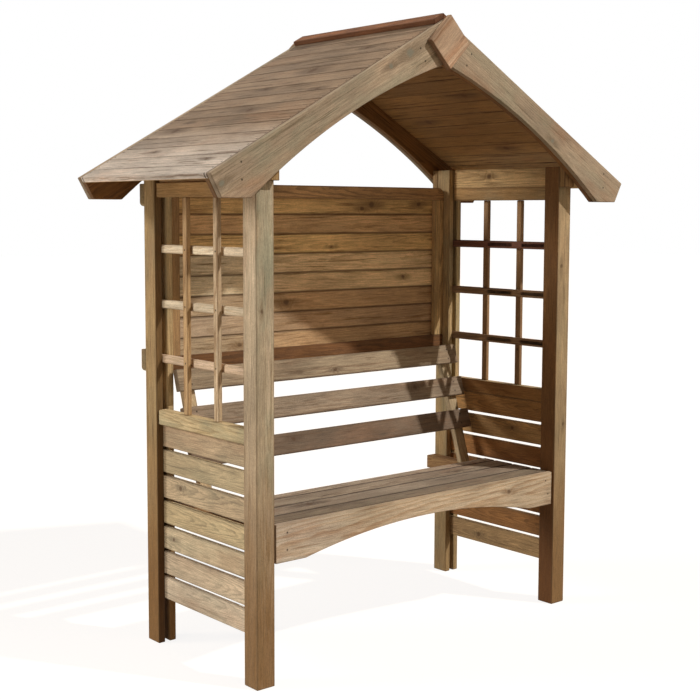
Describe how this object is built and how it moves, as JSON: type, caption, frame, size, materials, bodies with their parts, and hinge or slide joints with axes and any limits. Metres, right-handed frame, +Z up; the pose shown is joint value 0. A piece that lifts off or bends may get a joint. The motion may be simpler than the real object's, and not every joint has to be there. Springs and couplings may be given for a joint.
{
  "type": "arbour seat",
  "caption": "Wooden garden arbour seat: a bench with a leaning slatted backrest between slatted and trellised sides, under a boarded roof with arched gables.",
  "frame": {"origin": "on the ground, midway between the two sides and midway between the two gables", "axes": "+Z up; +X to the right of someone who faces the seat; +Y towards the back panel, so the open front faces -Y"},
  "size_m": [1.632, 0.7164, 1.8615],
  "materials": {
    "posts": "weathered pressure-treated softwood, matt",
    "leg_boards": "pressure-treated softwood with a green tint, matt",
    "side_slats": "planed pressure-treated softwood, matt",
    "side_rails": "planed pressure-treated softwood, matt",
    "head_rails": "sawn pressure-treated softwood, matt",
    "trellis": "pale planed softwood battens, matt",
    "back_frame": "brown treated softwood, matt",
    "back_boards": "golden brown matched softwood boards, matt",
    "rear_rails": "planed pressure-treated softwood, matt",
    "seat_bearers": "reddish brown sawn softwood, matt",
    "seat_boards": "grey-brown planed softwood, matt",
    "seat_apron": "planed softwood with a wavy grain, matt",
    "backrest": "planed pressure-treated softwood, matt",
    "roof_blocks": "sawn pressure-treated softwood, matt",
    "rafters": "dark brown treated softwood, matt",
    "gable_boards": "planed softwood with knots and a green tint, matt",
    "gable_diamonds": "planed softwood, matt",
    "roof_boards": "greyish tan matched softwood boards, matt",
    "ridge_caps": "reddish brown planed softwood, matt"
  },
  "bodies": {
    "root": {"front_post_left": "posts", "rear_leg_outer_left": "leg_boards", "rear_leg_inner_left": "leg_boards", "side_slat_left_1": "side_slats", "side_slat_left_2": "side_slats", "side_slat_left_3": "side_slats", "side_slat_left_4": "side_slats", "side_slat_left_5": "side_slats", "side_slat_left_6": "side_slats", "side_slat_left_7": "side_slats", "side_rail_left": "side_rails", "head_rail_left": "head_rails", "trellis_left": "trellis", "front_post_right": "posts", "rear_leg_outer_right": "leg_boards", "rear_leg_inner_right": "leg_boards", "side_slat_right_1": "side_slats", "side_slat_right_2": "side_slats", "side_slat_right_3": "side_slats", "side_slat_right_4": "side_slats", "side_slat_right_5": "side_slats", "side_slat_right_6": "side_slats", "side_slat_right_7": "side_slats", "side_rail_right": "side_rails", "head_rail_right": "head_rails", "trellis_right": "trellis", "back_frame": "back_frame", "back_boards": "back_boards", "rear_rail_lower": "rear_rails", "rear_rail_upper": "rear_rails", "seat_bearer_left": "seat_bearers", "seat_bearer_right": "seat_bearers", "seat_board_front": "seat_boards", "seat_board_second": "seat_boards", "seat_board_third": "seat_boards", "seat_board_rear": "seat_boards", "seat_apron": "seat_apron", "back_support_left": "backrest", "back_support_right": "backrest", "back_slat_1": "backrest", "back_slat_2": "backrest", "back_slat_3": "backrest", "roof_block_front_left": "roof_blocks", "rafter_front_left": "rafters", "gable_board_front_left": "gable_boards", "roof_block_front_right": "roof_blocks", "rafter_front_right": "rafters", "gable_board_front_right": "gable_boards", "gable_diamond_front": "gable_diamonds", "roof_block_rear_left": "roof_blocks", "rafter_rear_left": "rafters", "gable_board_rear_left": "gable_boards", "roof_block_rear_right": "roof_blocks", "rafter_rear_right": "rafters", "gable_board_rear_right": "gable_boards", "gable_diamond_rear": "gable_diamonds", "roof_boards_left": "roof_boards", "roof_boards_right": "roof_boards", "ridge_cap_left": "ridge_caps", "ridge_cap_right": "ridge_caps"}
  },
  "joints": []
}
